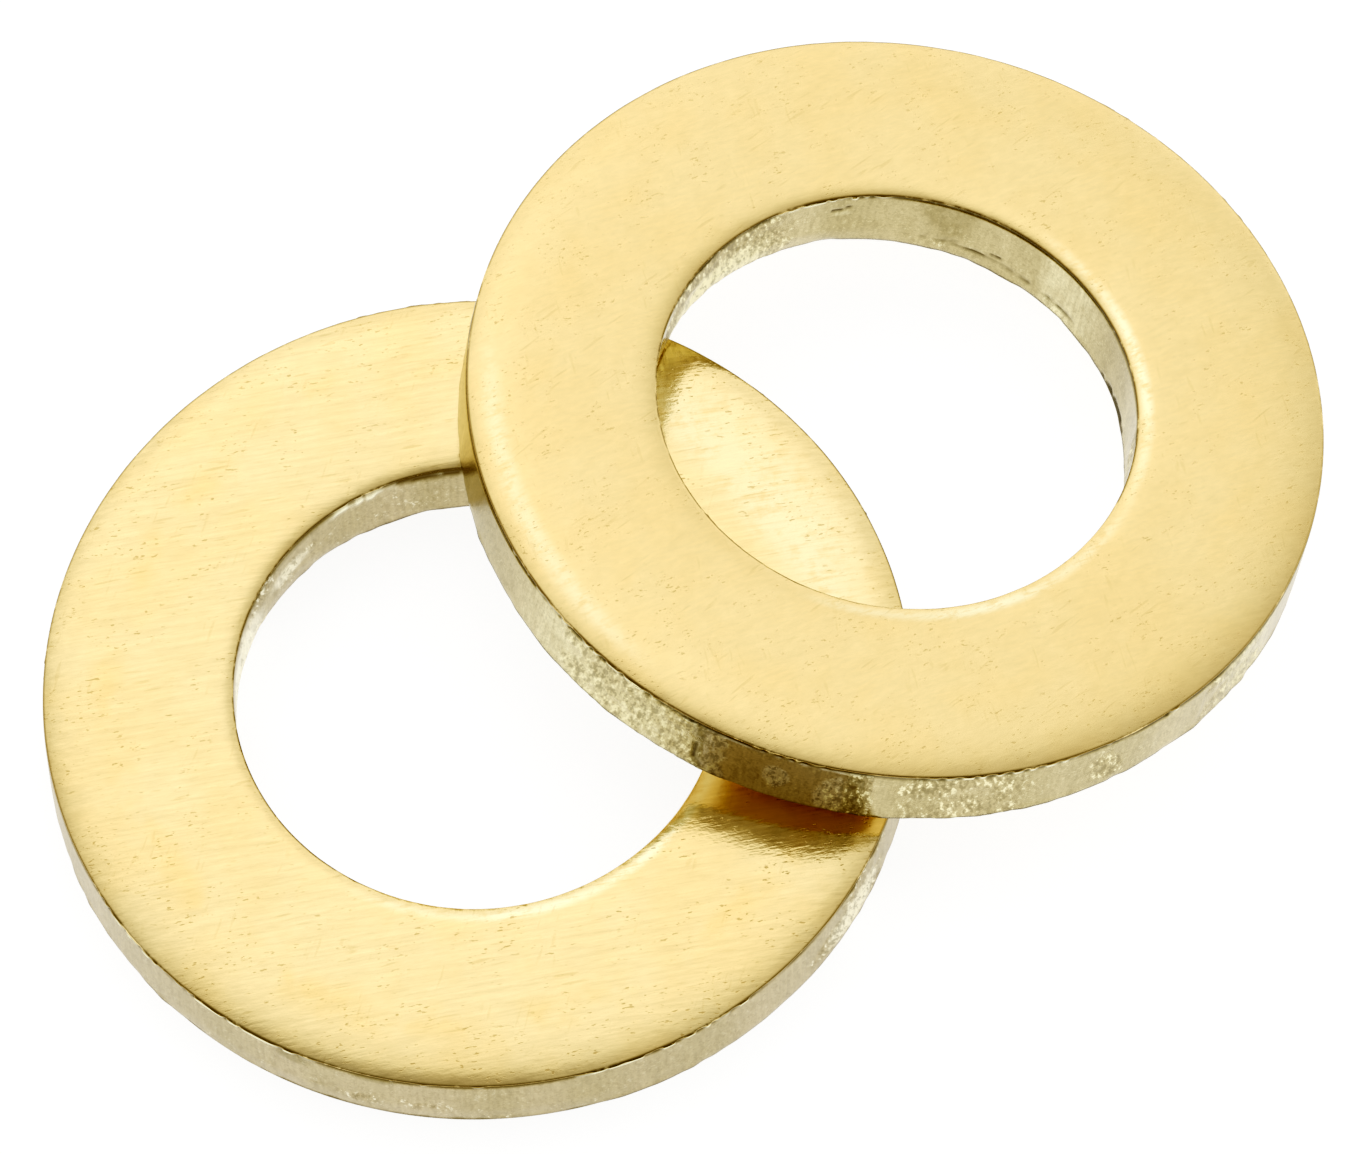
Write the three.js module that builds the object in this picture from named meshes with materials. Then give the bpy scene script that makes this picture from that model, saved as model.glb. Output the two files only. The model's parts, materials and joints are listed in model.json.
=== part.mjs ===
// Two identical flat washers of blanked brass, metric size 8, small outer diameter.
// Millimetres, +Z up. One washer lies flat. The other leans on it: its rim stands on the same
// surface, on the +X side, and the lower edge of its bore rests on the flat washer's rolled rim.
// The origin is the middle of the pair's footprint, on the surface that both stand on.

import * as THREE from 'three';

// One washer.
const OUTER_RADIUS = 7.5;
const BORE_RADIUS = 4.2;
const THICKNESS = 1.6;

// Blanking draws the top edges down into a soft roll, which ends in a crisp line on the wall.
const RIM_ROLL_WIDTH = 0.9;
const RIM_ROLL_DEPTH = 0.2;
const BORE_ROLL_WIDTH = 0.45;
const BORE_ROLL_DEPTH = 0.12;
// The underside's edges are only broken.
const EDGE_BREAK = 0.06;

// How the pair lies: the distance between the centres of the undersides, seen from above,
// and the air left under the leaning bore edge, so that the two solids stay apart.
const CENTRE_DISTANCE = 8.5;
const REST_GAP = 0.05;

// Facets round the washer and along each rolled edge.
const SIDES = 96;
const ROLL_DIVISIONS = 2;

// How finely the tilt is searched for.
const BORE_EDGE_STEPS = 720;
const HALVINGS = 40;
const STEEPEST_TILT = Math.PI / 4;

// The washer's cross-section, radius across and height up, run anticlockwise so that its
// faces point out.
function washerSection() {
  const section = new THREE.Path();
  section.moveTo(BORE_RADIUS + EDGE_BREAK, 0);
  section.lineTo(OUTER_RADIUS - EDGE_BREAK, 0);
  section.lineTo(OUTER_RADIUS, EDGE_BREAK);
  section.lineTo(OUTER_RADIUS, THICKNESS - RIM_ROLL_DEPTH);
  addRoll(section, OUTER_RADIUS - RIM_ROLL_WIDTH, RIM_ROLL_WIDTH, RIM_ROLL_DEPTH, 0);
  section.lineTo(BORE_RADIUS + BORE_ROLL_WIDTH, THICKNESS);
  addRoll(section, BORE_RADIUS + BORE_ROLL_WIDTH, BORE_ROLL_WIDTH, BORE_ROLL_DEPTH, Math.PI / 2);
  section.lineTo(BORE_RADIUS, EDGE_BREAK);
  section.closePath();
  return section.getPoints(ROLL_DIVISIONS);
}

// A quarter of an ellipse that carries the flat top down to a wall, or up from one.
function addRoll(section, centreRadius, width, depth, startAngle) {
  const endAngle = startAngle + Math.PI / 2;
  section.absellipse(centreRadius, THICKNESS - depth, width, depth, startAngle, endAngle, false, 0);
}

// A washer with its underside centred on its own origin and its axis along Z.
function makeWasher(name, colour, roughness) {
  const geometry = new THREE.LatheGeometry(washerSection(), SIDES);
  geometry.rotateX(Math.PI / 2);
  const brass = new THREE.MeshStandardMaterial({ color: colour, roughness, metalness: 1 });
  const washer = new THREE.Mesh(geometry, brass);
  washer.name = name;
  return washer;
}

// Height of a flat washer's top, with its rolled rim, at a distance from its axis.
function topHeight(radius) {
  const intoRoll = Math.max(0, radius - OUTER_RADIUS + RIM_ROLL_WIDTH) / RIM_ROLL_WIDTH;
  return THICKNESS - RIM_ROLL_DEPTH * (1 - Math.sqrt(1 - intoRoll ** 2));
}

// Height above the surface of a point on the leaning washer's underside, `across` millimetres
// from its centre on the side where it stands.
function undersideHeight(across, tilt) {
  return (OUTER_RADIUS - EDGE_BREAK - across) * Math.sin(tilt);
}

// The least height of the leaning washer's lower bore edge over the flat washer's top.
function boreEdgeClearance(tilt) {
  let least = Infinity;
  for (let step = 0; step <= BORE_EDGE_STEPS; step++) {
    const angle = (Math.PI * step) / BORE_EDGE_STEPS;
    const across = BORE_RADIUS * Math.cos(angle);
    const x = CENTRE_DISTANCE + across * Math.cos(tilt);
    const y = BORE_RADIUS * Math.sin(angle);
    const radius = Math.hypot(x, y);
    if (radius <= OUTER_RADIUS) {
      least = Math.min(least, undersideHeight(across, tilt) - topHeight(radius));
    }
  }
  return least;
}

// The tilt at which the bore edge comes down to its rest gap, found by halving.
function leaningTilt() {
  let tooFlat = 0;
  let tooSteep = STEEPEST_TILT;
  for (let halving = 0; halving < HALVINGS; halving++) {
    const middle = (tooFlat + tooSteep) / 2;
    if (boreEdgeClearance(middle) < REST_GAP) {
      tooFlat = middle;
    } else {
      tooSteep = middle;
    }
  }
  return tooSteep;
}

const lowerWasher = makeWasher('lower_washer', 0xf4dc96, 0.3);
const upperWasher = makeWasher('upper_washer', 0xf0d288, 0.36);

// Lean the second washer: its underside's centre stands half-way up the slope.
const tilt = leaningTilt();
upperWasher.rotation.y = tilt;
upperWasher.position.set(CENTRE_DISTANCE, 0, undersideHeight(0, tilt));

const washers = new THREE.Group();
washers.add(lowerWasher, upperWasher);

// Bring the middle of the footprint to the origin.
const footprint = new THREE.Box3().setFromObject(washers, true);
washers.position.x = -(footprint.min.x + footprint.max.x) / 2;

export default washers;
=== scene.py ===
"""A pair of blanked brass flat washers: one lies flat, and its loose twin leans on it.

Each washer is one solid piece of metal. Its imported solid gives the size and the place, and the
mesh made here adds what the press and the rolling mill leave on the metal: soft rolled edges,
the crisp seam under them with its groove and its bead of burr, drawn and torn walls, a crumbled
bottom edge, and the grain, scratches and pits of the sheet.
"""

import json
import logging
import math
from dataclasses import dataclass, field, replace
from enum import Enum
from typing import Iterable, Optional, Sequence, Union

import bpy
import numpy as np
from mathutils import Matrix, Vector


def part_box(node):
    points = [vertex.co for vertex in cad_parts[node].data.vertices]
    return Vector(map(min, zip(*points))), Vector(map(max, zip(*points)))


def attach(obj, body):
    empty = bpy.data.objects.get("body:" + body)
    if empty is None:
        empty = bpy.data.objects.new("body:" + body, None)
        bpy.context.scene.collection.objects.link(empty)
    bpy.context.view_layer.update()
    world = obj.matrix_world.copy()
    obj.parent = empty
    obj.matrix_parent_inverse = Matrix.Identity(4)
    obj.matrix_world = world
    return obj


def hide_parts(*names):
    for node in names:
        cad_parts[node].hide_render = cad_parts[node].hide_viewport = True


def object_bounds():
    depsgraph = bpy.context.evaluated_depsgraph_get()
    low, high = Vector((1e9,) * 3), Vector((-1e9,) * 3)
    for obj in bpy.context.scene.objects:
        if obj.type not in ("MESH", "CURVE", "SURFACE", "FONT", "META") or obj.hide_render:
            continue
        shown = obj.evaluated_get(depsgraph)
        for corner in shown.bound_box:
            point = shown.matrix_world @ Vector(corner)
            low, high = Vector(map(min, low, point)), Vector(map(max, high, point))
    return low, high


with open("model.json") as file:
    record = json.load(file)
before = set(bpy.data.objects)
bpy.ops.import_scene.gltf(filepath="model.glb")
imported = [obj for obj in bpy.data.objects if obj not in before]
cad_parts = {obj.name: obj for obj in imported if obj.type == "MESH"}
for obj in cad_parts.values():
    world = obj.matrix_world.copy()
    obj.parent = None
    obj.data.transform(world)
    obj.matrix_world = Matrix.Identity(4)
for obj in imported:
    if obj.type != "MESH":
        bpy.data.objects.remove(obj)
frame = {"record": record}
cad_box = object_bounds()

MM = 0.001
MICROMETRE = MM / 1000
Colour = tuple[float, float, float]
Number = Union[float, "Sock"]

log = logging.getLogger("washers")


# ---------------------------------------------------------------- shader maths


class Sock:
    """One output of a shader node. Python's operators on it add the nodes that work them out."""

    def __init__(self, tree: "ShaderTree", socket: bpy.types.NodeSocket) -> None:
        """Wraps one output of a tree's node."""
        self.tree = tree
        self.socket = socket

    def _worked(self, operation: str, first: Number, second: Number) -> "Sock":
        """Works a sum of two numbers or sockets out with one Math node."""
        node = self.tree.add("ShaderNodeMath", {"operation": operation}, {0: first, 1: second})
        return Sock(self.tree, node.outputs[0])

    def __add__(self, other: Number) -> "Sock":
        """self + other."""
        return self._worked("ADD", self, other)

    def __radd__(self, other: Number) -> "Sock":
        """other + self."""
        return self._worked("ADD", other, self)

    def __sub__(self, other: Number) -> "Sock":
        """self - other."""
        return self._worked("SUBTRACT", self, other)

    def __rsub__(self, other: Number) -> "Sock":
        """other - self."""
        return self._worked("SUBTRACT", other, self)

    def __mul__(self, other: Number) -> "Sock":
        """self * other."""
        return self._worked("MULTIPLY", self, other)

    def __rmul__(self, other: Number) -> "Sock":
        """other * self."""
        return self._worked("MULTIPLY", other, self)


class ShaderTree:
    """The nodes of one material or world, added in the order in which they are worked out."""

    def __init__(self, owner: Union[bpy.types.Material, bpy.types.World]) -> None:
        """Clears the owner's nodes.

        Args:
            owner: the material or world whose nodes these are.
        """
        owner.use_nodes = True
        self.nodes = owner.node_tree.nodes
        self.links = owner.node_tree.links
        self.nodes.clear()

    def add(self, kind: str, settings: dict, sockets: dict) -> bpy.types.Node:
        """Adds one node.

        Args:
            kind: the node's type.
            settings: the node's own properties, which are set first.
            sockets: a value or a link for each input, by its place, name or identifier.

        Returns:
            The new node.
        """
        node = self.nodes.new(kind)
        for name, value in settings.items():
            setattr(node, name, value)
        for key, value in sockets.items():
            socket = self._input(node, key)
            if isinstance(value, Sock):
                self.links.new(value.socket, socket)
            else:
                socket.default_value = value
        return node

    @staticmethod
    def _input(node: bpy.types.Node, key: Union[int, str]) -> bpy.types.NodeSocket:
        """Finds an input.

        Args:
            node: the node to look in.
            key: the input's place, identifier or name.

        Returns:
            The input socket.
        """
        if isinstance(key, int):
            return node.inputs[key]
        for socket in node.inputs:
            if socket.identifier == key:
                return socket
        return node.inputs[key]

    def axis_sum(self, point: Sock, axis: Sequence[float]) -> Sock:
        """How far a point lies along an axis, times the axis's length."""
        node = self.add("ShaderNodeVectorMath", {"operation": "DOT_PRODUCT"}, {0: point, 1: axis})
        return Sock(self, node.outputs["Value"])

    def ramp(self, value: Sock, low: float, high: float) -> Sock:
        """A smooth step between two values.

        Args:
            value: what is stepped.
            low: where the step gives 0. It may be above high, which turns the step round.
            high: where the step gives 1.

        Returns:
            The step, from 0 to 1.
        """
        rising = low < high
        sockets = {
            "Value": value,
            "From Min": min(low, high),
            "From Max": max(low, high),
            "To Min": 0.0 if rising else 1.0,
            "To Max": 1.0 if rising else 0.0,
        }
        node = self.add("ShaderNodeMapRange", {"interpolation_type": "SMOOTHSTEP"}, sockets)
        return Sock(self, node.outputs[0])

    def tint(self, share: Sock, first: Union[Colour, Sock], second: Union[Colour, Sock]) -> Sock:
        """Goes from one colour to another.

        Args:
            share: how much of the second there is, from 0 to 1.
            first: a colour.
            second: a colour.

        Returns:
            The mixed colour.
        """
        sockets = {
            "Factor_Float": share,
            "A_Color": first if isinstance(first, Sock) else (*first, 1.0),
            "B_Color": second if isinstance(second, Sock) else (*second, 1.0),
        }
        node = self.add("ShaderNodeMix", {"data_type": "RGBA"}, sockets)
        return Sock(self, node.outputs[2])

    def scaled(self, colour: Sock, share: Sock) -> Sock:
        """Makes a colour lighter or darker, by multiplying it."""
        sockets = {0: colour, "Scale": share}
        return Sock(self, self.add("ShaderNodeVectorMath", {"operation": "SCALE"}, sockets).outputs[0])


# ---------------------------------------------------------------- finishes

# Each washer's mesh stores these at its vertices. OWN_POINT is the point in the washer's own axes,
# in millimetres, with its axis along Z. MARKS holds how torn the metal is there, how much painted
# shade darkens it in the seam's groove, in a crack or at the wall's foot, and how proud it stands as
# a bead of burr, each from 0 to 1. TONES holds how much of the cut wall is painted as reflection:
# cream for lighter, olive for darker, and brown for a greyer tint where the rim mirrors the flat washer.
OWN_POINT = "own_point"
MARKS = "marks"
TONES = "tones"

# Painted highlight on stretches of the rolled edges.
PAINTED_HIGHLIGHT: Colour = (0.99, 0.95, 0.66)
# Painted highlight on the beads of burr along the seams.
BEAD_HIGHLIGHT: Colour = (0.99, 0.96, 0.72)
STRAIGHT = Matrix.Identity(3)


class FinishTree(ShaderTree):
    """The nodes of a washer's finish, with the washer's own coordinates at hand."""

    def __init__(self, name: str) -> None:
        """Starts a material.

        Args:
            name: the material's name.
        """
        self.material = bpy.data.materials.new(name)
        super().__init__(self.material)
        self.point = self.attribute(OWN_POINT)

    def attribute(self, name: str) -> Sock:
        """Reads a vector that the mesh stores at its vertices."""
        node = self.add("ShaderNodeAttribute", {"attribute_name": name}, {})
        return Sock(self, node.outputs["Vector"])

    def radius(self) -> Sock:
        """How far the shaded point is from the washer's axis."""
        sockets = {0: self.point, 1: (1, 1, 0)}
        flat = self.add("ShaderNodeVectorMath", {"operation": "MULTIPLY"}, sockets)
        sockets = {0: Sock(self, flat.outputs[0])}
        node = self.add("ShaderNodeVectorMath", {"operation": "LENGTH"}, sockets)
        return Sock(self, node.outputs["Value"])

    def noise(
        self,
        scale: float,
        detail: float = 2.0,
        rough: float = 0.5,
        axes: Optional[Iterable[Sequence[float]]] = None,
    ) -> Sock:
        """Smooth noise from 0 to 1, with most of it near a half.

        Args:
            scale: its cells for each millimetre.
            detail: how many finer layers it has.
            rough: how strong the finer layers are.
            axes: the three axes that it is laid out in, if it is longer one way.

        Returns:
            The noise's value.
        """
        place = self.point
        if axes is not None:
            parts = [self.axis_sum(place, axis) for axis in axes]
            turned = self.add("ShaderNodeCombineXYZ", {}, dict(enumerate(parts)))
            place = Sock(self, turned.outputs[0])
        sockets = {"Vector": place, "Scale": scale, "Detail": detail, "Roughness": rough}
        node = self.add("ShaderNodeTexNoise", {"noise_dimensions": "3D"}, sockets)
        return Sock(self, node.outputs[0])

    def metal(self, colour: Sock, roughness: Sock, relief: Sock) -> bpy.types.Material:
        """Ends the tree in a metal surface.

        Args:
            colour: the metal's colour.
            roughness: its roughness.
            relief: how high the surface stands, in micrometres.

        Returns:
            The finished material.
        """
        heights = {"Height": relief, "Distance": MICROMETRE, "Strength": 1.0}
        bump = self.add("ShaderNodeBump", {}, heights)
        normal = Sock(self, bump.outputs[0])
        sockets = {"Base Color": colour, "Metallic": 1.0, "Roughness": roughness, "Normal": normal}
        surface = self.add("ShaderNodeBsdfPrincipled", {}, sockets)
        self.add("ShaderNodeOutputMaterial", {}, {"Surface": Sock(self, surface.outputs[0])})
        return self.material


@dataclass(frozen=True)
class RolledFace:
    """The face of the sheet, as it left the mill, with the grain running one way.

    Painted highlights lie on a stretch of the face and along the bore's edge at the listed angles,
    and painted shade darkens a thin line at both edges, except where it gives way to the bore's main
    painted highlights. The underside is tinted darker as painted shade. Depths are in
    micrometres, other lengths in millimetres and angles in degrees.
    """

    name: str
    bright: Colour
    warm: Colour
    dull: Colour
    grain_angle: float
    grain_length: float
    grain_contrast: float
    pebble_depth: float
    crimp_length: float
    crimp_depth: float
    speck_length: float
    rim_specks: float
    scratch_angle: float
    roughness: float
    stain_radius: float
    stain_width: float
    stain_strength: float
    # Painted shade: the underside's duller, darker colour.
    underside: Colour = (0.72, 0.63, 0.46)
    # Painted highlight on a stretch of the face, round one angle and radius.
    face_highlight: float = 0.0
    face_highlight_angle: float = 170.0
    face_highlight_radius: float = 7.06
    face_highlight_reach: float = 0.28
    outer: float = 7.5
    bore: float = 4.2
    # Painted shade: a thin dark line along both edges, its colour, width and strength.
    edge_shade: Colour = (0.24, 0.175, 0.07)
    edge_shade_width: float = 0.055
    edge_shade_strength: float = 0.8
    # Painted highlights along the bore's edge at the listed angles; the first set also clears the dark
    # edge line there.
    bore_highlight: float = 0.45
    bore_highlight_angles: tuple[float, ...] = ()
    glint_angles: tuple[float, ...] = ()
    bore_highlight_reach: float = 0.17

    @staticmethod
    def _axes(angle: float, length: float, width: float) -> list[Vector]:
        """Axes for a texture that is longer one way.

        Args:
            angle: the long way, in degrees.
            length: the texture's cells along it.
            width: the cells across it.

        Returns:
            Three axes for FinishTree.noise.
        """
        turn = math.radians(angle)
        along = Vector((math.cos(turn), math.sin(turn), 0)) / length
        across = Vector((-math.sin(turn), math.cos(turn), 0)) / width
        return [along, across, Vector((0, 0, 1 / width))]

    def _lines(self, tree: FinishTree, angle: float, length: float) -> Sock:
        """Fine broken scratches.

        Args:
            tree: the material's nodes.
            angle: the way that they run, in degrees.
            length: how long they are, roughly.

        Returns:
            1 in a scratch and 0 beside it.
        """
        lines = tree.noise(1.0, 0.0, axes=self._axes(angle, length, 0.06))
        sparse = tree.noise(1.0, 1.0, axes=self._axes(angle, 0.9, 0.6))
        return tree.ramp(lines, 0.68, 0.78) * tree.ramp(sparse, 0.52, 0.66)

    def _specks(self, tree: FinishTree) -> Sock:
        """Small dark pits drawn out along the grain and gathered in loose drifts.

        Args:
            tree: the material's nodes.

        Returns:
            1 in a pit and 0 beside it.
        """
        axes = self._axes(self.grain_angle, self.speck_length, 0.045)
        pits = tree.noise(1.0, 1.0, axes=axes)
        near_rim = tree.ramp(tree.radius(), 5.6, 7.3) * self.rim_specks
        drift = tree.noise(1.3) + near_rim
        return tree.ramp(pits + near_rim * 0.25, 0.655, 0.74) * tree.ramp(drift, 0.45, 0.62)

    def _ring(self, tree: FinishTree, radius: Sock, middle: float, reach: float) -> Sock:
        """A soft ring round the washer, which fades out within its reach on each side."""
        inside = tree.ramp(radius, middle - reach, middle)
        return inside * tree.ramp(radius, middle + reach, middle)

    def _side(self, tree: FinishTree, angle: float, radius: float) -> Sock:
        """The part of the washer that is towards one angle, at about one radius."""
        way = (math.cos(math.radians(angle)), math.sin(math.radians(angle)), 0)
        return tree.ramp(tree.axis_sum(tree.point, way), 0.85 * radius, 0.97 * radius)

    def _highlight_patch(self, tree: FinishTree, angle: float, middle: float, reach: float) -> Sock:
        """A stretch of an edge that gets a painted highlight, round one angle and radius."""
        return self._ring(tree, tree.radius(), middle, reach) * self._side(tree, angle, middle)

    def _highlighted(self, tree: FinishTree, breakup: Sock, colour: Sock) -> Sock:
        """Paints highlights on stretches of both edges.

        Args:
            tree: the material's nodes.
            breakup: noise that breaks the highlights up.
            colour: the face's colour.

        Returns:
            The colour with the painted highlights.
        """
        edge = self._highlight_patch(tree, self.face_highlight_angle, self.face_highlight_radius, self.face_highlight_reach)
        edge = edge * self.face_highlight
        for angle in (*self.bore_highlight_angles, *self.glint_angles):
            middle = self.bore + self.bore_highlight_reach
            edge = edge + self._highlight_patch(tree, angle, middle, self.bore_highlight_reach) * self.bore_highlight
        return tree.tint(edge * tree.ramp(breakup, 0.20, 0.60), colour, PAINTED_HIGHLIGHT)

    def _edge_shaded(self, tree: FinishTree, breakup: Sock, colour: Sock) -> Sock:
        """Paints a thin dark line of shade along both edges.

        Args:
            tree: the material's nodes.
            breakup: noise that breaks the line of shade up.
            colour: the face's colour.

        Returns:
            The colour with the painted shade.
        """
        radius = tree.radius()
        rim_edge_shade = tree.ramp(radius, self.outer - self.edge_shade_width, self.outer)
        bore_edge_shade = tree.ramp(radius, self.bore + self.edge_shade_width, self.bore)
        for angle in self.bore_highlight_angles:
            bore_edge_shade = bore_edge_shade - self._side(tree, angle, self.bore)
        edge_shades = (rim_edge_shade + tree.ramp(bore_edge_shade, 0.0, 1.0)) * tree.ramp(breakup, 0.28, 0.48)
        return tree.tint(edge_shades * self.edge_shade_strength, colour, self.edge_shade)

    def make(self) -> bpy.types.Material:
        """Makes the material.

        Returns:
            A new material.
        """
        tree = FinishTree(self.name)
        turn = self.grain_angle
        grain = tree.noise(1.0, 2.0, 0.6, self._axes(turn, self.grain_length, 0.075))
        pebbles = tree.noise(1.0, 3.0, 0.55, self._axes(turn, 0.26, 0.15))
        crimps = tree.noise(1.0, 1.0, 0.5, self._axes(turn, self.crimp_length, 0.05))
        mottle = tree.noise(3.4, 3.0, 0.65)
        clouds = tree.noise(0.55, 3.0, 0.6)
        specks = self._specks(tree)
        scratches = self._lines(tree, self.scratch_angle, 0.55)
        scratches = scratches + self._lines(tree, self.scratch_angle + 63, 0.4) * 0.6

        colour = tree.tint(tree.ramp(clouds, 0.35, 0.7) * 0.5, self.bright, self.warm)
        wander = tree.radius() + tree.noise(0.45) * 0.9 - 0.45
        stain = self._ring(tree, wander, self.stain_radius, self.stain_width)
        stain = stain * tree.ramp(tree.noise(0.9, 3.0), 0.44, 0.64) * self.stain_strength
        colour = tree.tint(stain, colour, self.warm)
        streaks = (grain - 0.5) * self.grain_contrast + (mottle - 0.5) * 0.10
        colour = tree.scaled(colour, 1 + streaks)
        # Painted highlights on stretches of both edges.
        colour = self._highlighted(tree, mottle + (grain - 0.5) * 0.8, colour)
        # Painted shade: a thin dark line along both edges.
        colour = self._edge_shaded(tree, mottle + (clouds - 0.5) * 0.8, colour)
        colour = tree.tint(scratches * 0.22 + specks * 0.5, colour, self.dull)

        # Painted shade: the underside is tinted duller and darker than the top.
        under = tree.ramp(tree.axis_sum(tree.point, STRAIGHT[2]), 0.5, 0.2)
        colour = tree.tint(under, colour, self.underside)
        roughness = self.roughness + (grain - 0.5) * 0.10 + specks * 0.2 + under * 0.12
        relief = pebbles * self.pebble_depth + crimps * self.crimp_depth + grain * 0.5
        relief = relief - specks * 1.5 - scratches * 0.6
        return tree.metal(colour, roughness, relief)


@dataclass(frozen=True)
class ShearedWall:
    """The wall that the press cuts: drawn smooth in places and torn in others.

    The crinkles' depth is in micrometres, and their lean is across for each millimetre of height.
    Its colour is partly painted light: bands of painted reflection, painted shade in hollows,
    grooves, cracks and at the foot, and painted highlights on flakes, specks and beads.
    """

    name: str
    # The wall's colour and a darker shaded copy, mixed in bands of painted reflection.
    drawn: Colour
    shaded: Colour
    # Painted highlight and painted shade.
    gleam: Colour
    shadow: Colour
    roughness: float
    streak_contrast: float
    crinkle_depth: float
    # Colours of the darker and the greyer patches of painted reflection.
    olive: Colour = (0.42, 0.36, 0.21)
    umber: Colour = (0.63, 0.56, 0.40)
    lean: float = 0.3

    def make(self) -> bpy.types.Material:
        """Makes the material.

        Returns:
            A new material.
        """
        tree = FinishTree(self.name)
        marks = tree.attribute(MARKS)
        torn, groove, bead = (tree.axis_sum(marks, axis) for axis in STRAIGHT)
        tones = tree.attribute(TONES)
        cream, olive, umber = (tree.axis_sum(tones, axis) for axis in STRAIGHT)
        upright = [Vector((1, 0, 0)), Vector((0, 1, 0)), Vector((0, 0, 0.10))]
        leaning = [Vector((1, 0, self.lean)), Vector((0, 1, self.lean)), Vector((0, 0, 0.24))]
        streaks = tree.noise(12.0, 2.0, 0.6, upright)
        reflection_bands = tree.noise(0.9, 2.0, 0.5, upright)
        crinkle = tree.noise(10.5, 2.0, 0.6, leaning)
        grit = tree.noise(19.0, 2.0, 0.6)
        drift = tree.noise(2.4, 3.0, 0.6)
        ragged = tree.ramp(torn + (drift - 0.5) * 0.9 + (grit - 0.5) * 0.4, 0.22, 0.66)
        flakes = tree.ramp(crinkle + (grit - 0.5) * 0.25, 0.52, 0.65)
        hollows = tree.ramp(crinkle + (grit - 0.5) * 0.35, 0.49, 0.38)
        specks = tree.ramp(grit + (crinkle - 0.5) * 0.9, 0.56, 0.72) * tree.ramp(drift, 0.4, 0.6)

        patchy = (drift - 0.5) * 1.2 + (streaks - 0.5) * 0.5
        # Painted reflection: soft upright bands between the wall's colour and its shaded copy.
        colour = tree.tint(tree.ramp(reflection_bands, 0.25, 0.75), self.drawn, self.shaded)
        # Painted reflection patches: olive darker, brown greyer where the rim mirrors the flat washer,
        # cream lighter.
        colour = tree.tint(tree.ramp(olive + patchy, 0.0, 1.0) * olive, colour, self.olive)
        colour = tree.tint(tree.ramp(umber + patchy * 0.4, 0.3, 0.6), colour, self.umber)
        colour = tree.tint(tree.ramp(cream + patchy, 0.0, 1.0) * cream, colour, self.gleam)
        shade = (streaks - 0.5) * self.streak_contrast + (grit - 0.5) * 0.34
        colour = tree.scaled(colour, 1 + shade)
        # Painted shade in the hollows of the crinkles.
        colour = tree.tint((0.12 + ragged * 0.28) * hollows, colour, self.shadow)
        # Painted highlights on the flakes and specks.
        flake_highlights = specks * 0.28 + ragged * flakes * (0.8 - umber * 0.4)
        colour = tree.tint(tree.ramp(flake_highlights, 0.0, 1.0), colour, self.gleam)
        # Painted highlight on the beads of burr.
        colour = tree.tint(bead, colour, BEAD_HIGHLIGHT)
        # Painted shade in the seam's groove, the cracks and along the wall's foot.
        colour = tree.tint(groove, colour, self.shadow)

        roughness = self.roughness + ragged * 0.16 + (grit - 0.5) * 0.14 - bead * 0.1
        roughness = roughness + umber * 0.13
        relief = streaks * 0.8 + grit * (0.8 + ragged * 1.6)
        relief = relief + crinkle * (0.25 + ragged) * self.crinkle_depth
        return tree.metal(colour, roughness, relief)


# ---------------------------------------------------------------- the washer's shape


class Zone(Enum):
    """The stretches of a washer's cross-section."""

    UNDERSIDE = "underside"
    RIM_WALL = "rim wall"
    TOP = "top"
    BORE_WALL = "bore wall"


@dataclass(frozen=True)
class Patch:
    """A mark on a wall.

    Args:
        centre: its middle, in degrees round the washer's axis.
        reach: how far it fades out on each side, in degrees.
        strength: how strong it is in the middle.
        height: its middle's height over the underside, in millimetres.
        rise: how far it fades out above and below that.
    """

    centre: float
    reach: float
    strength: float = 1.0
    height: float = 0.7
    rise: float = 9.0


# Where a rolled edge has its rings, as shares of the length over which its slope fades.
ROLL_STEPS = (0.03, 0.09, 0.18, 0.3, 0.45, 0.65, 0.9, 1.2, 1.55, 2.0, 2.7, 3.6)


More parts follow.
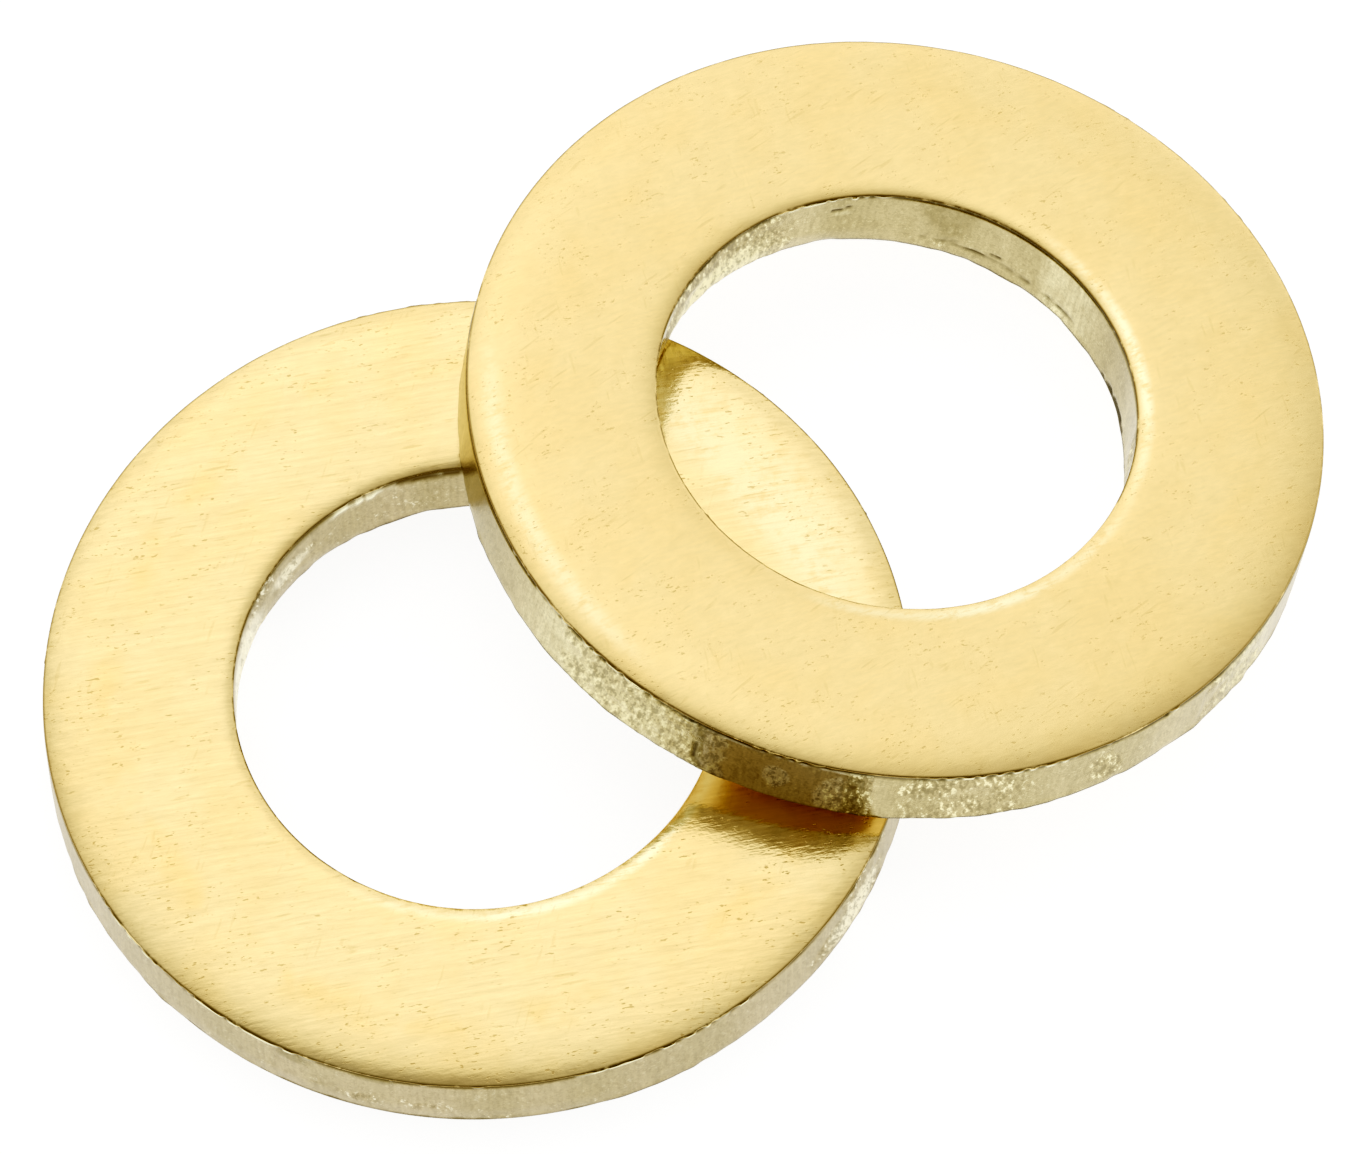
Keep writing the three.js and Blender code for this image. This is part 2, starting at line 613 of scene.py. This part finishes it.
@dataclass(frozen=True)
class Section:
    """A washer's cross-section, in millimetres.

    A drop is how far a seam lies below the top. An edge is steepest at its seam, by its slope, and
    the slope fades to about a third over its fade.
    """

    outer: float
    bore: float
    thickness: float
    rim_drop: float = 0.2
    rim_slope: float = 0.5
    rim_fade: float = 0.36
    bore_drop: float = 0.1
    bore_slope: float = 0.65
    bore_fade: float = 0.13
    edge_break: float = 0.035
    foot_inset: float = 0.14
    seam_reach: float = 0.12
    face_rings: int = 5
    wall_rings: int = 21
    seam_rings: int = 10

    @property
    def rim_seam(self) -> float:
        """The height of the seam on the rim."""
        return self.thickness - self.rim_drop

    @property
    def bore_seam(self) -> float:
        """The height of the seam in the bore."""
        return self.thickness - self.bore_drop

    def _wall(self, seam: float) -> np.ndarray:
        """Heights of a wall's rings, from its bottom to its seam.

        Args:
            seam: the height of the seam.

        Returns:
            The heights, rising.
        """
        plain = np.linspace(self.edge_break, seam - self.seam_reach, self.wall_rings)
        fine = np.linspace(-self.seam_reach, 0.0, self.seam_rings + 1)[1:]
        return np.concatenate([plain, seam + fine])

    def _roll(
        self, edge: float, inward: float, slope: float, fade: float
    ) -> list[tuple[float, float]]:
        """Points of a rolled edge, from its seam up to the flat top.

        Args:
            edge: the radius of the wall below it.
            inward: -1 on the rim and 1 in the bore, the way that the metal lies.
            slope: how steep it is at the seam.
            fade: how far in from the seam the steepness falls to about a third.

        Returns:
            Radius and height of each point.
        """
        steps = fade * np.array(ROLL_STEPS)
        heights = self.thickness - slope * fade * np.exp(-steps / fade)
        return list(zip(edge + inward * steps, heights))

    def rings(self) -> tuple[np.ndarray, list[Zone]]:
        """The section as a closed loop of rings, anticlockwise with the radius to the right.

        Returns:
            Radius and height of each ring, and the zone of the strip that starts at each.
        """
        foot, toe = self.bore + self.foot_inset, self.outer - self.edge_break
        radii = np.linspace(foot, toe, self.face_rings)
        under = [(radius, 0.0) for radius in radii]
        rim = [(self.outer, z) for z in self._wall(self.rim_seam)]
        roll = self._roll(self.outer, -1, self.rim_slope, self.rim_fade)
        inner_roll = self._roll(self.bore, 1, self.bore_slope, self.bore_fade)
        flat = np.linspace(roll[-1][0], inner_roll[-1][0], self.face_rings)[1:-1]
        top = roll + [(r, self.thickness) for r in flat] + inner_roll[::-1]
        bore = [(self.bore, z) for z in self._wall(self.bore_seam)[::-1]]
        zones = [Zone.UNDERSIDE] * (len(under) - 1) + [Zone.RIM_WALL] * len(rim)
        zones += [Zone.TOP] * (len(top) + 1) + [Zone.BORE_WALL] * len(bore)
        return np.array(under + rim + top + bore), zones


@dataclass
class Wrap:
    """Random relief wrapped round a washer, the same at 0 and 360 degrees."""

    radius: float
    angles: np.ndarray
    heights: np.ndarray
    seed: int
    endless: float = 1e6
    drawn: int = field(default=0, init=False)

    def noise(self, width: float, tall: float, slant: float = 0.0) -> np.ndarray:
        """Smooth noise over the whole wrap.

        Args:
            width: how wide a cell is round the washer, in millimetres.
            tall: how tall a cell is.
            slant: how far the cells lean round the washer for each millimetre of height.

        Returns:
            Values between -1 and 1, one for each height and angle.
        """
        self.drawn += 1
        rng = np.random.default_rng((self.seed, self.drawn))
        count = max(3, round(math.tau * self.radius / width))
        rows = (self.heights - self.heights.min())[:, None] / tall
        columns = self.angles[None, :] / 360.0 * count + slant * self.heights[:, None] / width
        rows = np.broadcast_to(rows, columns.shape)
        lattice = rng.uniform(-1, 1, (int(rows.max()) + 3, count))
        i, j = np.floor(rows).astype(int), np.floor(columns).astype(int) % count
        u, v = rows - np.floor(rows), columns - np.floor(columns)
        u, v = u * u * (3 - 2 * u), v * v * (3 - 2 * v)
        after = (j + 1) % count
        low = lattice[i, j] * (1 - v) + lattice[i, after] * v
        high = lattice[i + 1, j] * (1 - v) + lattice[i + 1, after] * v
        return low * (1 - u) + high * u

    def line(self, width: float) -> np.ndarray:
        """Smooth noise that only changes round the washer, in cells of a width in millimetres."""
        return self.noise(width, self.endless)[0]

    def spread(self, patches: Sequence[Patch]) -> np.ndarray:
        """How strong a mark is over the wrap.

        Args:
            patches: where the mark is.

        Returns:
            The strength for each height and angle.
        """
        total = np.zeros((len(self.heights), len(self.angles)))
        for patch in patches:
            round_off = np.abs((self.angles - patch.centre + 180.0) % 360.0 - 180.0) / patch.reach
            up_off = np.abs(self.heights - patch.height) / patch.rise
            off = np.hypot(round_off[None, :], up_off[:, None])
            share = np.clip(1.5 - 1.5 * off, 0, 1)
            total = np.maximum(total, patch.strength * share * share * (3 - 2 * share))
        return total


@dataclass(frozen=True)
class PressMarks:
    """What the press left on one wall of a washer, with its painted shade and reflection. Depths are in
    millimetres.
    """

    torn: Sequence[Patch]
    folds: Sequence[Patch]
    beads: Sequence[Patch]
    gaps: Sequence[Patch] = ()
    cracks: Sequence[Patch] = ()
    cream: Sequence[Patch] = ()
    olive: Sequence[Patch] = ()
    umber: Sequence[Patch] = ()
    flares: Sequence[Patch] = ()
    torn_depth: float = 0.012
    fold_depth: float = 0.016
    bead_depth: float = 0.026
    bead_drop: float = 0.026
    bead_rise: float = 0.036
    groove_depth: float = 0.02
    groove_drop: float = 0.033
    groove_rise: float = 0.042
    flare_depth: float = 0.1
    flare_height: float = 0.5
    crack_depth: float = 0.03
    crumble_depth: float = 0.016
    crumble_height: float = 0.11
    foot_shade_height: float = 0.06
    wave_depth: float = 0.003
    smooth_under_seam: float = 0.07

    def relief(self, wrap: Wrap, seam: float) -> tuple[np.ndarray, np.ndarray]:
        """The wall's relief.

        Args:
            wrap: the heights and angles of the wall's points.
            seam: the height of the seam.

        Returns:
            How far each point stands out from the wall, and its marks: torn, painted shade and bead.
        """
        height = wrap.heights[:, None]
        below_seam = np.clip((seam - height) / self.smooth_under_seam, 0, 1)
        drift = wrap.noise(0.9, 0.4) + 0.7 * wrap.noise(0.35, 0.22)
        flakes = np.abs(wrap.noise(0.13, 0.24, 0.25)) + 0.6 * np.abs(wrap.noise(0.09, 0.12))
        folds = wrap.noise(0.30, 1.1, 0.3) + 0.5 * wrap.noise(0.15, 0.6)
        waves = wrap.noise(1.4, 0.9) + 0.4 * wrap.noise(0.5, 0.5)

        torn = np.clip(wrap.spread(self.torn) * (0.85 + 0.5 * drift), 0, 1) * below_seam
        folded = np.clip(wrap.spread(self.folds) * (0.85 + 0.4 * drift), 0, 1) * below_seam
        fray = 0.5 * wrap.noise(0.12, 0.1) + 0.4 * wrap.line(0.35)
        crack = np.clip(2.0 * wrap.spread(self.cracks) * (0.75 + fray) - 0.4, 0, 1)

        along = np.clip(wrap.spread(self.beads) * (0.75 + 1.1 * wrap.line(0.10)), 0, 1)
        stray = np.clip(wrap.line(0.14) - 0.78, 0, 1) * 3.0
        drop = height - (seam - self.bead_drop * (1 + 0.5 * wrap.line(0.16)))
        bead = np.clip(along + stray, 0, 1) * np.exp(-((drop / self.bead_rise) ** 2))
        open_seam = np.clip(1.1 + 0.5 * wrap.line(0.5) - wrap.spread(self.gaps), 0, 1)
        depth = height - seam + self.groove_drop
        groove = np.exp(-((depth / self.groove_rise) ** 2)) * open_seam
        groove = groove * (1 - 0.9 * np.clip(along + stray, 0, 1))

        ragged = wrap.line(0.65) + 0.7 * wrap.line(0.22)
        crumble = np.exp(-((height / self.crumble_height) ** 2)) * ragged
        relief = self.wave_depth * waves + self.torn_depth * (flakes - 0.5) * torn
        relief = relief + self.fold_depth * folds * folded + self.bead_depth * bead
        relief = relief - self.groove_depth * groove - self.crack_depth * crack
        relief = relief + self.crumble_depth * crumble
        foot = np.clip(1 - height / self.flare_height, 0, 1) ** 1.4
        relief = relief - self.flare_depth * foot * wrap.spread(self.flares)
        # Painted shade along the wall's foot next to the table, and in the seam's groove and the cracks.
        foot_shade = 0.5 * np.exp(-((height / self.foot_shade_height) ** 2)) * (1 + 0.6 * wrap.line(0.8))
        dark = np.clip(groove + crack * (1 - 0.9 * bead) + foot_shade, 0, 1)
        return relief, np.stack([np.clip(torn + 0.5 * folded, 0, 1), dark, bead], axis=-1)

    def tones(self, wrap: Wrap) -> np.ndarray:
        """How much painted reflection, cream, olive and brown, covers the cut wall at each height and
        angle.
        """
        return np.stack([wrap.spread(part) for part in (self.cream, self.olive, self.umber)], -1)


@dataclass
class Washer:
    """One washer: a ring of sheet brass, blanked and pierced by a press."""

    node: str
    piece: str
    slot: str
    section: Section
    centre: Vector
    axis: Vector
    seed: int
    rim_marks: PressMarks
    bore_marks: PressMarks
    face: RolledFace
    wall: ShearedWall
    steps_round: int = 960
    seam_wander: float = 0.008
    wander_reach: float = 0.09

    def _placed(self, points: np.ndarray) -> np.ndarray:
        """Points of the washer's own axes put where the washer lies.

        Args:
            points: points in millimetres, from the middle of the underside.

        Returns:
            The points in metres, in the frame.
        """
        sideways = Vector((0, 1, 0))
        along = sideways.cross(self.axis)
        axes = np.array([along, sideways, self.axis])
        return points @ axes * MM + np.array(self.centre)

    def _relief(self, rings: np.ndarray, angles: np.ndarray) -> tuple[np.ndarray, ...]:
        """Works out how the press left both walls.

        Args:
            rings: radius and height of each ring.
            angles: the angles round the washer, in degrees.

        Returns:
            The change in radius, the marks and the tones, for each ring and angle.
        """
        change = np.zeros((len(rings), len(angles)))
        marks = np.zeros((len(rings), len(angles), 3))
        tones = np.zeros_like(marks)
        section = self.section
        walls = (
            (section.outer, 1.0, self.rim_marks, section.rim_seam),
            (section.bore, -1.0, self.bore_marks, section.bore_seam),
        )
        for part, (radius, outward, press, seam) in enumerate(walls, start=1):
            own = np.isclose(rings[:, 0], radius)
            wrap = Wrap(radius, angles, rings[own, 1], self.seed * 10 + part)
            relief, marks[own] = press.relief(wrap, seam)
            tones[own] = press.tones(wrap)
            change[own] = relief * outward
        return change, marks, tones

    def _seam_share(self, rings: np.ndarray, zones: list[Zone]) -> np.ndarray:
        """How much each ring follows the seam's wandering.

        Args:
            rings: radius and height of each ring.
            zones: the zone that starts at each ring.

        Returns:
            From 0 to 1 for each ring.
        """
        section = self.section
        middle = (section.outer + section.bore) / 2
        seam = np.where(rings[:, 0] > middle, section.rim_seam, section.bore_seam)
        near = np.clip(1 - np.abs(rings[:, 1] - seam) / self.wander_reach, 0, 1)
        near[[zone is Zone.UNDERSIDE for zone in zones]] = 0
        return near

    def build(self) -> bpy.types.Object:
        """Builds the washer's mesh.

        Returns:
            The new object, with no material.
        """
        rings, zones = self.section.rings()
        angles = np.arange(self.steps_round) * (360.0 / self.steps_round)
        change, marks, tones = self._relief(rings, angles)
        turn = np.radians(angles)
        wander = Wrap(self.section.outer, angles, np.zeros(1), self.seed * 10 + 3)
        rise = self.seam_wander * (wander.line(2.4) + 0.7 * wander.line(0.5) + 0.4 * wander.line(0.2))
        radius = rings[:, 0:1] + change
        height = rings[:, 1:2] + self._seam_share(rings, zones)[:, None] * rise
        own = np.stack([radius * np.cos(turn), radius * np.sin(turn), height], axis=-1)

        count, steps = len(rings), self.steps_round
        ring = np.repeat(np.arange(count), steps)
        step = np.tile(np.arange(steps), count)
        after, beside = (ring + 1) % count, (step + 1) % steps
        corners = [(ring, step), (ring, beside), (after, beside), (after, step)]
        quads = np.stack([row * steps + column for row, column in corners], axis=1)
        mesh = bpy.data.meshes.new(self.piece)
        mesh.from_pydata(self._placed(own.reshape(-1, 3)), [], quads.tolist())
        mesh.polygons.foreach_set("use_smooth", np.ones(len(quads), bool))
        walls = np.array([zone in (Zone.RIM_WALL, Zone.BORE_WALL) for zone in zones])
        mesh.polygons.foreach_set("material_index", walls[ring].astype(np.int32))
        for name, values in ((OWN_POINT, own), (MARKS, marks), (TONES, tones)):
            stored = mesh.attributes.new(name, "FLOAT_VECTOR", "POINT")
            stored.data.foreach_set("vector", values.astype(np.float32).ravel())
        mesh.update()
        washer = bpy.data.objects.new(self.piece, mesh)
        bpy.context.scene.collection.objects.link(washer)
        return washer

    def dress(self, washer: bpy.types.Object) -> None:
        """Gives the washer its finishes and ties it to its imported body.

        Args:
            washer: the object that build made.
        """
        washer.data.materials.append(self.face.make())
        washer.data.materials.append(self.wall.make())
        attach(washer, self.node)
        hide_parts(self.node)


# ---------------------------------------------------------------- the studio


@dataclass(frozen=True)
class Glow:
    """A soft patch of the sky that changes its brightness.

    Args:
        way: where its middle is.
        edge: how near to the middle it begins, as the cosine of the angle between.
        full: how near it has its full strength, in the same measure.
        strength: the change there.
    """

    way: tuple[float, float, float]
    edge: float
    full: float
    strength: float

    def share(self, tree: ShaderTree, look: Sock) -> Sock:
        """How strong it is the way one looks."""
        near = tree.axis_sum(look, Vector(self.way).normalized())
        return tree.ramp(near, self.edge, self.full) * self.strength


@dataclass
class Studio:
    """A light table in a tent that is bright at the back, with the camera looking down."""

    azimuth: float = -32.02
    elevation: float = 64.14
    roll: float = -1.89
    distance: float = 0.2129
    view_width: float = 0.023737
    aim_from_middle: Vector = field(default_factory=lambda: Vector((-0.00009, -0.0001, 0.001125)))
    sensor: float = 36.0
    table_size: float = 3.0
    table_glow: float = 0.88
    table_colour: float = 0.25
    sky: float = 1.05
    lamp: Glow = Glow((0.04, 0.35, 0.94), 0.775, 1.0, 0.19)
    dark_side: Glow = Glow((-0.98, -0.21, 0.05), -0.49, 0.90, 0.59)
    dark_front: Glow = Glow((0.37, -0.92, 0.11), -0.50, 1.40, 0.63)
    opening: Glow = Glow((-0.30, -0.12, 0.95), 0.93, 1.0, 0.22)
    film_curve: Sequence[tuple[float, float]] = (
        (0.12, 0.015), (0.20, 0.08), (0.30, 0.20), (0.45, 0.40), (0.60, 0.585), (0.80, 0.80),
    )

    def film(self) -> None:
        """Gives the view the deep, rich dark tones of a contrasty film."""
        view = bpy.context.scene.view_settings
        view.view_transform = "Standard"
        view.use_curve_mapping = True
        all_channels = view.curve_mapping.curves[3]
        for light, shown in self.film_curve:
            all_channels.points.new(light, shown)
        view.curve_mapping.update()

    def axes(self) -> tuple[Vector, Vector, Vector]:
        """The camera's axes.

        Returns:
            Its right, its up, and the way back from what it looks at.
        """
        turn, rise = math.radians(self.azimuth), math.radians(self.elevation)
        level = Vector((math.sin(turn), -math.cos(turn), 0))
        back = level * math.cos(rise) + Vector((0, 0, math.sin(rise)))
        right = Vector((math.cos(turn), math.sin(turn), 0))
        right = Matrix.Rotation(math.radians(self.roll), 3, back) @ right
        return right, back.cross(right), back

    def camera(self) -> bpy.types.Object:
        """Sets the camera up.

        Returns:
            The camera.
        """
        right, up, back = self.axes()
        low, high = (Vector(corner) for corner in cad_box)
        aim = Vector(((low.x + high.x) / 2, (low.y + high.y) / 2, low.z)) + self.aim_from_middle
        lens = bpy.data.cameras.new("camera")
        lens.sensor_width = self.sensor
        lens.lens = self.sensor * self.distance / self.view_width
        lens.clip_start = 0.001
        camera = bpy.data.objects.new("camera", lens)
        turned = Matrix((right, up, back)).transposed().to_4x4()
        camera.matrix_world = Matrix.Translation(aim + back * self.distance) @ turned
        bpy.context.scene.collection.objects.link(camera)
        bpy.context.scene.camera = camera
        return camera

    def table(self) -> bpy.types.Object:
        """Lays the glowing pale surface that the washers stand on.

        Returns:
            The surface.
        """
        half = self.table_size / 2
        corners = [(-half, -half, 0), (half, -half, 0), (half, half, 0), (-half, half, 0)]
        mesh = bpy.data.meshes.new("table")
        mesh.from_pydata(corners, [], [(0, 1, 2, 3)])
        table = bpy.data.objects.new("table", mesh)
        bpy.context.scene.collection.objects.link(table)
        material = bpy.data.materials.new("table_white")
        tree = ShaderTree(material)
        sockets = {
            "Base Color": (self.table_colour, self.table_colour, self.table_colour, 1),
            "Roughness": 0.8,
            "Specular IOR Level": 0.0,
            "Emission Color": (1, 1, 1, 1),
            "Emission Strength": self.table_glow,
        }
        surface = tree.add("ShaderNodeBsdfPrincipled", {}, sockets)
        tree.add("ShaderNodeOutputMaterial", {}, {"Surface": Sock(tree, surface.outputs[0])})
        mesh.materials.append(material)
        return table

    def tent(self) -> bpy.types.World:
        """Hangs the tent: a soft lamp overhead at the back, darker cloth at the side and front.

        Returns:
            The world.
        """
        world = bpy.data.worlds.new("tent")
        bpy.context.scene.world = world
        tree = ShaderTree(world)
        place = tree.add("ShaderNodeTexCoord", {}, {})
        look = Sock(tree, place.outputs["Generated"])
        strength = self.sky + self.lamp.share(tree, look)
        for dark in (self.dark_side, self.dark_front, self.opening):
            strength = strength * (1 - dark.share(tree, look))
        low = tree.ramp(tree.axis_sum(look, (0, 0, 1)), 0.30, 0.08)
        strength = strength + (1 - strength) * low
        sockets = {"Color": (1, 1, 1, 1), "Strength": strength}
        shade = tree.add("ShaderNodeBackground", {}, sockets)
        tree.add("ShaderNodeOutputWorld", {}, {"Surface": Sock(tree, shade.outputs[0])})
        return world


# ---------------------------------------------------------------- the pair


@dataclass
class WasherPair:
    """Both washers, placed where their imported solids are."""

    studio: Studio
    bore_radius: float = 4.2

    def run_in_view(self, slope: float, axis: Vector) -> float:
        """Turns a direction that the camera sees into an angle round a washer.

        Args:
            slope: how far above the view's horizontal the direction is, in degrees.
            axis: the washer's axis.

        Returns:
            The angle on the washer's face, from its own X towards its own Y, in degrees.
        """
        right, up, back = self.studio.axes()
        seen = right * math.cos(math.radians(slope)) + up * math.sin(math.radians(slope))
        flat = seen - back * (seen.dot(axis) / back.dot(axis))
        sideways = Vector((0, 1, 0))
        return math.degrees(math.atan2(flat.dot(sideways), flat.dot(sideways.cross(axis))))

    def section(self) -> Section:
        """The cross-section that both share, sized from the flat washer's packed box.

        Returns:
            The section.
        """
        low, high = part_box("lower_washer")
        outer = (high.x - low.x) / 2 / MM
        return Section(outer=outer, bore=self.bore_radius, thickness=(high.z - low.z) / MM)

    def lower(self) -> Washer:
        """The washer that lies flat, with the mill's grain plain to see.

        Returns:
            The washer.
        """
        low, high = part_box("lower_washer")
        return Washer(
            node="lower_washer",
            piece="lower_washer_brass",
            slot="brushed_brass",
            section=replace(self.section(), rim_drop=0.16, rim_slope=0.43, rim_fade=0.33),
            centre=Vector(((low.x + high.x) / 2, (low.y + high.y) / 2, low.z)),
            axis=Vector((0, 0, 1)),
            seed=11,
            rim_marks=PressMarks(
                torn=[Patch(292, 9, 0.8, 0.5, 0.6), Patch(228, 40, 0.35, 0.3, 0.8), Patch(90, 70, 0.5)],
                folds=[Patch(299, 10, 0.9), Patch(212, 4, 0.8, 1.2, 0.25), Patch(20, 40, 0.5)],
                beads=[Patch(263, 17, 1.4), Patch(204, 14, 1.1), Patch(184, 12, 0.8), Patch(60, 30, 0.6)],
                gaps=[Patch(285, 12, 0.5)],
                # Patches of painted reflection: cream lighter, olive darker.
                cream=[Patch(296, 10, 0.9, 0.5, 0.8)],
                olive=[Patch(212, 4, 0.9, 1.25, 0.3), Patch(223, 5, 0.9, 1.35, 0.2)],
                flares=[Patch(225, 45, 0.4), Patch(60, 90, 0.3)],
                torn_depth=0.006,
            ),
            bore_marks=PressMarks(
                torn=[Patch(105, 10, 0.7, 0.9, 0.5), Patch(95, 60, 0.25), Patch(250, 70, 0.7)],
                folds=[Patch(128, 18, 0.6), Patch(330, 30, 0.6)],
                beads=[Patch(86, 11, 1.3), Patch(240, 30, 0.7)],
                cracks=[Patch(66, 13, 2.4, 1.42, 0.22)],
                # Patches of painted reflection: cream lighter, olive darker.
                cream=[Patch(134, 24, 1.0, 0.5, 1.2), Patch(108, 12, 0.8, 0.85, 0.4)],
                olive=[Patch(112, 34, 1.0, 1.42, 0.22), Patch(80, 24, 0.3, 0.7, 0.6)],
                flares=[Patch(120, 40, 0.6), Patch(270, 60, 0.5)],
                torn_depth=0.008,
                bead_drop=0.13,
                bead_rise=0.08,
                crumble_depth=0.024,
            ),
            face=RolledFace(
                name="brushed_brass_face",
                bright=(0.93, 0.765, 0.435),
                warm=(0.93, 0.715, 0.365),
                dull=(0.58, 0.42, 0.18),
                grain_angle=self.run_in_view(10.0, Vector((0, 0, 1))),
                grain_length=0.95,
                grain_contrast=0.26,
                pebble_depth=4.5,
                crimp_length=0.4,
                crimp_depth=1.6,
                speck_length=0.13,
                rim_specks=0.07,
                scratch_angle=self.run_in_view(10.0, Vector((0, 0, 1))),
                roughness=0.15,
                stain_radius=6.35,
                stain_width=0.5,
                stain_strength=0.8,
                # Painted highlights: a broad stretch of the face on one side, and along the bore's edge.
                face_highlight=0.42,
                face_highlight_angle=4.0,
                face_highlight_radius=6.1,
                face_highlight_reach=1.5,
                bore_highlight_angles=(236.0, 264.0, 292.0),
            ),
            wall=ShearedWall(
                name="brushed_brass_wall",
                drawn=(0.60, 0.52, 0.35),
                shaded=(0.53, 0.46, 0.29),
                gleam=(0.97, 0.92, 0.72),
                shadow=(0.20, 0.155, 0.07),
                roughness=0.30,
                streak_contrast=0.35,
                crinkle_depth=5.0,
            ),
        )

    def upper(self) -> Washer:
        """The washer that leans, with a finer, plainer face and a rougher wall.

        Returns:
            The washer.
        """
        mounts = {mount["name"]: mount for mount in frame["record"]["mounts"]}
        top = mounts["upper_top_face"]
        axis = Vector(top["axis"]).normalized()
        section = self.section()
        top_centre = Vector((top["pos_m"][0], 0, top["pos_m"][2]))
        return Washer(
            node="upper_washer",
            piece="upper_washer_brass",
            slot="satin_brass",
            section=section,
            centre=top_centre - axis * (section.thickness * MM),
            axis=axis,
            seed=23,
            rim_marks=PressMarks(
                torn=[
                    Patch(196, 14, 1.0), Patch(207, 7, 1.0), Patch(211.5, 2.6, 1.1),
                    Patch(220, 2.6, 1.0, 0.75, 0.5), Patch(229, 5, 1.1, 0.45, 0.95),
                    Patch(231, 2.5, 1.0), Patch(248, 15, 0.35), Patch(265, 4, 0.4, 0.5, 0.9),
                    Patch(60, 60, 0.8),
                ],
                folds=[Patch(288, 11, 1.3), Patch(245, 14, 0.7), Patch(268, 12, 0.4), Patch(120, 30, 0.6)],
                beads=[
                    Patch(192, 15, 0.9), Patch(222, 8, 0.5), Patch(250, 14, 1.1),
                    Patch(275.4, 1.0, 1.6), Patch(20, 40, 0.7),
                ],
                cracks=[
                    Patch(207, 2, 0.7, 1.32, 0.05), Patch(208.3, 0.35, 0.55, 1.10, 0.40),
                    Patch(208.8, 0.35, 0.5, 0.55, 0.50), Patch(274.2, 0.9, 1.2, 1.36, 0.09),
                ],
                # Patches of painted reflection: cream lighter, olive darker, umber greyer.
                cream=[Patch(194, 24, 0.6), Patch(291, 9, 0.6)],
                olive=[
                    Patch(169, 14, 0.6), Patch(210.5, 3.2, 1.2), Patch(230, 4, 0.8),
                    Patch(242, 12, 0.35), Patch(280, 6, 0.4),
                ],
                umber=[Patch(219.5, 13, 1.4)],
                flares=[Patch(60, 90, 0.4)],
                bead_depth=0.02,
            ),
            bore_marks=PressMarks(
                torn=[
                    Patch(95, 22, 0.9), Patch(112, 20, 0.8), Patch(38, 22, 0.35, 0.2, 0.3),
                    Patch(10, 14, 0.35, 0.2, 0.3), Patch(240, 60, 0.8),
                ],
                folds=[Patch(112, 18, 0.8), Patch(318, 8, 1.0)],
                beads=[Patch(71, 18, 1.1), Patch(200, 30, 0.6)],
                gaps=[Patch(78, 16, 0.7)],
                cracks=[
                    Patch(16, 22, 0.7, 0.33, 0.08), Patch(34, 20, 0.7, 0.38, 0.08),
                    Patch(29, 2.4, 1.2, 0.52, 0.05), Patch(40.5, 3.6, 1.2, 0.47, 0.06),
                    Patch(66.5, 1.8, 0.9, 1.16, 0.04), Patch(69.5, 2.4, 0.9, 1.12, 0.04),
                    Patch(342, 13, 1.1, 0.12, 0.10),
                ],
                # Patches of painted reflection: cream lighter, olive darker.
                cream=[Patch(8, 15, 0.55), Patch(68, 4, 0.5, 1.0, 0.12), Patch(105, 32, 0.9, 0.3, 1.1)],
                olive=[Patch(42, 12, 0.75, 1.4, 1.5), Patch(345, 14, 0.7), Patch(60, 24, 0.4)],
                flares=[Patch(95, 50, 1.0), Patch(240, 60, 0.6)],
            ),
            face=RolledFace(
                name="satin_brass_face",
                bright=(0.93, 0.75, 0.415),
                warm=(0.93, 0.715, 0.37),
                dull=(0.64, 0.49, 0.24),
                grain_angle=self.run_in_view(18.0, axis),
                grain_length=0.30,
                grain_contrast=0.12,
                pebble_depth=3.0,
                crimp_length=0.22,
                crimp_depth=0.8,
                speck_length=0.10,
                rim_specks=0.05,
                scratch_angle=self.run_in_view(35.0, axis),
                roughness=0.20,
                stain_radius=6.2,
                stain_width=0.6,
                stain_strength=0.4,
                # Painted highlights: a stretch of the rolled rim, and along the bore's edge.
                face_highlight=0.42,
                bore_highlight_angles=(243.0, 271.0),
                glint_angles=(330.0, 351.0),
            ),
            wall=ShearedWall(
                name="satin_brass_wall",
                drawn=(0.66, 0.58, 0.375),
                shaded=(0.57, 0.50, 0.31),
                gleam=(0.97, 0.91, 0.62),
                shadow=(0.20, 0.17, 0.10),
                roughness=0.22,
                streak_contrast=0.32,
                crinkle_depth=6.0,
            ),
        )


def main() -> None:
    """Builds the studio and the pair, and reports each piece."""
    logging.basicConfig(level=logging.INFO, format="%(name)s: %(message)s")
    studio = Studio()
    studio.film()
    log.info("camera %s", studio.camera().name)
    log.info("surface %s", studio.table().name)
    log.info("light %s", studio.tent().name)
    pair = WasherPair(studio)
    for washer in (pair.lower(), pair.upper()):
        piece = washer.build()
        washer.dress(piece)
        log.info("%s: %d faces on body %s", piece.name, len(piece.data.polygons), washer.node)


if __name__ == "__main__":
    main()
